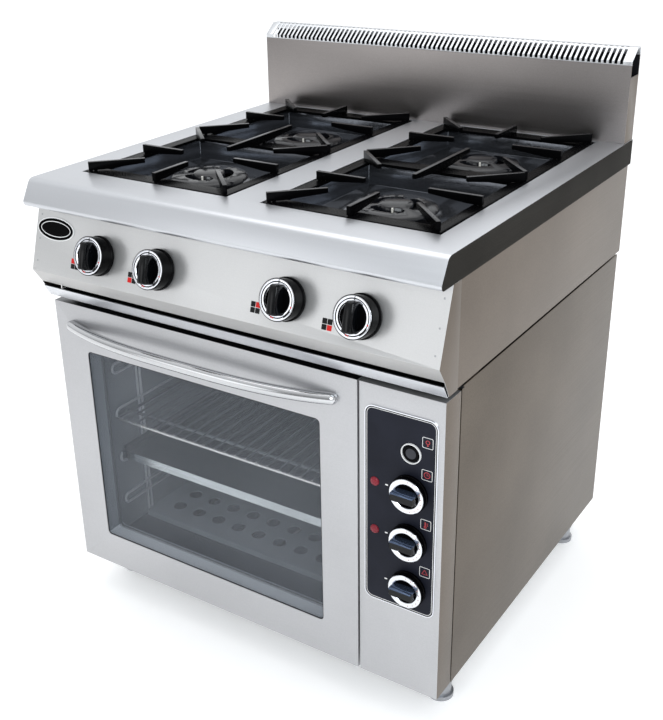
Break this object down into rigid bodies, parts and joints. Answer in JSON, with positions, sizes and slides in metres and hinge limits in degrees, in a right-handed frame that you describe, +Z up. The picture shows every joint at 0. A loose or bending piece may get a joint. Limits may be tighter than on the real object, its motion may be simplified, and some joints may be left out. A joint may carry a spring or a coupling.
{
  "type": "commercial gas range",
  "caption": "Free-standing commercial range: open gas burners under cast grates, slotted flue hood, drop-down glazed oven door and a side control column.",
  "frame": {"origin": "on the floor, in the middle of the overall width and depth", "axes": "+Z up, +Y towards the wall behind, +X to the right of a user who faces the range"},
  "size_m": [0.8, 0.8018, 1.018],
  "materials": {
    "brushed": "vertical brushed satin",
    "polished": "fine brushed, brighter",
    "side_paint": "satin grey-brown",
    "flue_steel": "satin",
    "zinc_steel": "zinc plated",
    "black_enamel": "gloss enamel, speckled",
    "burner_black": "matt enamel",
    "cast_iron": "rough cast",
    "brass": "machined",
    "insert": "smooth dark laminate",
    "lamp_red": "translucent lens",
    "enamel_grey": "grey enamel",
    "insulation": "mineral wool",
    "wire_chrome": "plated wire",
    "heater": "dark oxide",
    "seal": "silicone",
    "badge_black": "gloss with a pale rim",
    "cream_plastic": "moulded",
    "black_plastic": "fine satin moulding",
    "lamp_glass": "frosted",
    "spindle_steel": "turned",
    "door_glass": "tempered, grey",
    "tray_steel": "rolled",
    "foot_steel": "satin"
  },
  "bodies": {
    "range": {"base_frame": "zinc_steel", "back_panel": "zinc_steel", "side_panel_left": "side_paint", "side_panel_right": "side_paint", "oven_front_frame": "zinc_steel", "column_cover": "brushed", "control_insert": "insert", "indicator_lamps": "lamp_red", "oven_liner": "enamel_grey", "oven_insulation": "insulation", "rack_guides": "wire_chrome", "floor_plate": "enamel_grey", "heating_elements": "heater", "door_seal": "seal", "hinge_brackets": "zinc_steel", "top_rail": "polished", "upper_casing": "side_paint", "fascia": "brushed", "badge": "badge_black", "worktop": "polished", "flue_duct": "flue_steel", "flue_cap": "flue_steel", "drip_pans": "black_enamel", "gas_manifold": "zinc_steel", "gas_valves": "brass", "burner_pipes": "brass", "burner_heads": "cast_iron", "pilot_burners": "brass", "control_units": "cream_plastic", "cable_entry": "black_plastic", "oven_light": "lamp_glass"},
    "oven_door": {"door_skin": "brushed", "door_liner": "zinc_steel", "door_glass": "door_glass", "door_handle": "polished", "door_hinge_ears": "zinc_steel"},
    "gas_tap_rear_left": {"gas_spindle_1": "spindle_steel"},
    "gas_dial_rear_left": {"gas_knob_1": "black_plastic"},
    "gas_tap_front_left": {"gas_spindle_2": "spindle_steel"},
    "gas_dial_front_left": {"gas_knob_2": "black_plastic"},
    "gas_tap_rear_right": {"gas_spindle_3": "spindle_steel"},
    "gas_dial_rear_right": {"gas_knob_3": "black_plastic"},
    "gas_tap_front_right": {"gas_spindle_4": "spindle_steel"},
    "gas_dial_front_right": {"gas_knob_4": "black_plastic"},
    "timer_dial": {"timer_knob": "black_plastic"},
    "thermostat_dial": {"thermostat_knob": "black_plastic"},
    "mode_dial": {"mode_knob": "black_plastic"},
    "light_switch": {"light_button": "black_plastic"},
    "grate_left_body": {"grate_left": "black_enamel"},
    "grate_right_body": {"grate_right": "black_enamel"},
    "cap_rear_left": {"burner_cap_1": "burner_black"},
    "cap_front_left": {"burner_cap_2": "burner_black"},
    "cap_rear_right": {"burner_cap_3": "burner_black"},
    "cap_front_right": {"burner_cap_4": "burner_black"},
    "shelf": {"oven_shelf": "wire_chrome"},
    "tray": {"baking_tray": "tray_steel"},
    "leg_front_left": {"foot_front_left": "foot_steel"},
    "leg_front_right": {"foot_front_right": "foot_steel"},
    "leg_rear_left": {"foot_rear_left": "foot_steel"},
    "leg_rear_right": {"foot_rear_right": "foot_steel"}
  },
  "joints": [
    {"name": "oven_door_hinge", "type": "hinge", "parent": "range", "child": "oven_door", "pos_m": [-0.07435, -0.31358, 0.089], "axis": [1, 0, 0], "range_deg": [0, 90]},
    {"name": "gas_push_rear_left", "type": "slide", "parent": "range", "child": "gas_tap_rear_left", "axis": [0, 0.9558, -0.294], "range_m": [0, 0.004], "stiffness_N_per_m": 600, "springref_m": -0.002},
    {"name": "gas_turn_rear_left", "type": "hinge", "parent": "gas_tap_rear_left", "child": "gas_dial_rear_left", "pos_m": [-0.243, -0.34938, 0.73729], "axis": [0, 0.9558, -0.294], "range_deg": [-190, 0]},
    {"name": "gas_push_front_left", "type": "slide", "parent": "range", "child": "gas_tap_front_left", "axis": [0, 0.9558, -0.294], "range_m": [0, 0.004], "stiffness_N_per_m": 600, "springref_m": -0.002},
    {"name": "gas_turn_front_left", "type": "hinge", "parent": "gas_tap_front_left", "child": "gas_dial_front_left", "pos_m": [-0.113, -0.34938, 0.73729], "axis": [0, 0.9558, -0.294], "range_deg": [-190, 0]},
    {"name": "gas_push_rear_right", "type": "slide", "parent": "range", "child": "gas_tap_rear_right", "axis": [0, 0.9558, -0.294], "range_m": [0, 0.004], "stiffness_N_per_m": 600, "springref_m": -0.002},
    {"name": "gas_turn_rear_right", "type": "hinge", "parent": "gas_tap_rear_right", "child": "gas_dial_rear_right", "pos_m": [0.139, -0.34938, 0.73729], "axis": [0, 0.9558, -0.294], "range_deg": [-190, 0]},
    {"name": "gas_push_front_right", "type": "slide", "parent": "range", "child": "gas_tap_front_right", "axis": [0, 0.9558, -0.294], "range_m": [0, 0.004], "stiffness_N_per_m": 600, "springref_m": -0.002},
    {"name": "gas_turn_front_right", "type": "hinge", "parent": "gas_tap_front_right", "child": "gas_dial_front_right", "pos_m": [0.269, -0.34938, 0.73729], "axis": [0, 0.9558, -0.294], "range_deg": [-190, 0]},
    {"name": "timer_turn", "type": "hinge", "parent": "range", "child": "timer_dial", "pos_m": [0.3404, -0.32858, 0.4555], "axis": [0, 1, 0], "range_deg": [0, 300]},
    {"name": "thermostat_turn", "type": "hinge", "parent": "range", "child": "thermostat_dial", "pos_m": [0.3404, -0.32858, 0.368], "axis": [0, 1, 0], "range_deg": [0, 300]},
    {"name": "mode_turn", "type": "hinge", "parent": "range", "child": "mode_dial", "pos_m": [0.3404, -0.32858, 0.2805], "axis": [0, 1, 0], "range_deg": [0, 270]},
    {"name": "light_push", "type": "slide", "parent": "range", "child": "light_switch", "axis": [0, 1, 0], "range_m": [0, 0.003], "stiffness_N_per_m": 400, "springref_m": -0.001},
    {"name": "grate_left_lift", "type": "slide", "parent": "range", "child": "grate_left_body", "axis": [0, 0, 1], "range_m": [0, 0.06]},
    {"name": "grate_right_lift", "type": "slide", "parent": "range", "child": "grate_right_body", "axis": [0, 0, 1], "range_m": [0, 0.06]},
    {"name": "cap_lift_rear_left", "type": "slide", "parent": "range", "child": "cap_rear_left", "axis": [0, 0, 1], "range_m": [0, 0.018]},
    {"name": "cap_lift_front_left", "type": "slide", "parent": "range", "child": "cap_front_left", "axis": [0, 0, 1], "range_m": [0, 0.018]},
    {"name": "cap_lift_rear_right", "type": "slide", "parent": "range", "child": "cap_rear_right", "axis": [0, 0, 1], "range_m": [0, 0.018]},
    {"name": "cap_lift_front_right", "type": "slide", "parent": "range", "child": "cap_front_right", "axis": [0, 0, 1], "range_m": [0, 0.018]},
    {"name": "shelf_slide", "type": "slide", "parent": "range", "child": "shelf", "axis": [0, -1, 0], "range_m": [0, 0.012]},
    {"name": "tray_slide", "type": "slide", "parent": "range", "child": "tray", "axis": [0, -1, 0], "range_m": [0, 0.012]},
    {"name": "foot_turn_front_left", "type": "hinge", "parent": "range", "child": "leg_front_left", "pos_m": [-0.3547, -0.23358, 0.02], "axis": [0, 0, 1], "continuous": true},
    {"name": "foot_turn_front_right", "type": "hinge", "parent": "range", "child": "leg_front_right", "pos_m": [0.3547, -0.23358, 0.02], "axis": [0, 0, 1], "continuous": true},
    {"name": "foot_turn_rear_left", "type": "hinge", "parent": "range", "child": "leg_rear_left", "pos_m": [-0.3547, 0.32292, 0.02], "axis": [0, 0, 1], "continuous": true},
    {"name": "foot_turn_rear_right", "type": "hinge", "parent": "range", "child": "leg_rear_right", "pos_m": [0.3547, 0.32292, 0.02], "axis": [0, 0, 1], "continuous": true}
  ]
}
